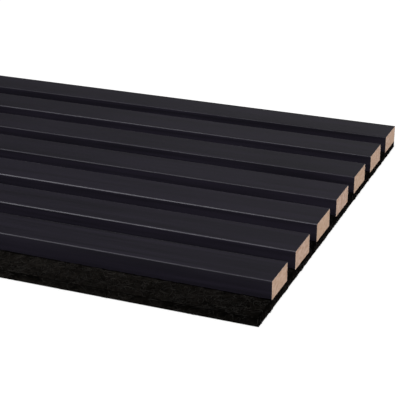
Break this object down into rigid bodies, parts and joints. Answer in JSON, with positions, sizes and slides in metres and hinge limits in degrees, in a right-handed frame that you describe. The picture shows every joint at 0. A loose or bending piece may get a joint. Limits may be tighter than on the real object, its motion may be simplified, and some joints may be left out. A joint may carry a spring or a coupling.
{
  "type": "acoustic slat wall panel",
  "caption": "Wall panel of black wrapped fibreboard slats, bare at their cut ends, set apart on a black felt backing that has a free margin along one side.",
  "frame": {"origin": "centre of the felt's back face, which lies against the wall", "axes": "+X along the slats, +Y across them away from the felt's free margin, +Z out of the wall"},
  "size_m": [0.6, 0.3, 0.017],
  "materials": {
    "felt": "needled fibre felt, matt and fuzzy",
    "core_board": "bare sawn fibreboard",
    "black_wrap": "satin black film with a faint lengthwise grain",
    "staple_wire": "bright galvanised wire"
  },
  "bodies": {
    "root": {"felt_backing": "felt", "slat_core_1": "core_board", "slat_core_2": "core_board", "slat_core_3": "core_board", "slat_core_4": "core_board", "slat_core_5": "core_board", "slat_core_6": "core_board", "slat_core_7": "core_board", "slat_wrap_1": "black_wrap", "slat_wrap_2": "black_wrap", "slat_wrap_3": "black_wrap", "slat_wrap_4": "black_wrap", "slat_wrap_5": "black_wrap", "slat_wrap_6": "black_wrap", "slat_wrap_7": "black_wrap", "staples": "staple_wire"}
  },
  "joints": []
}
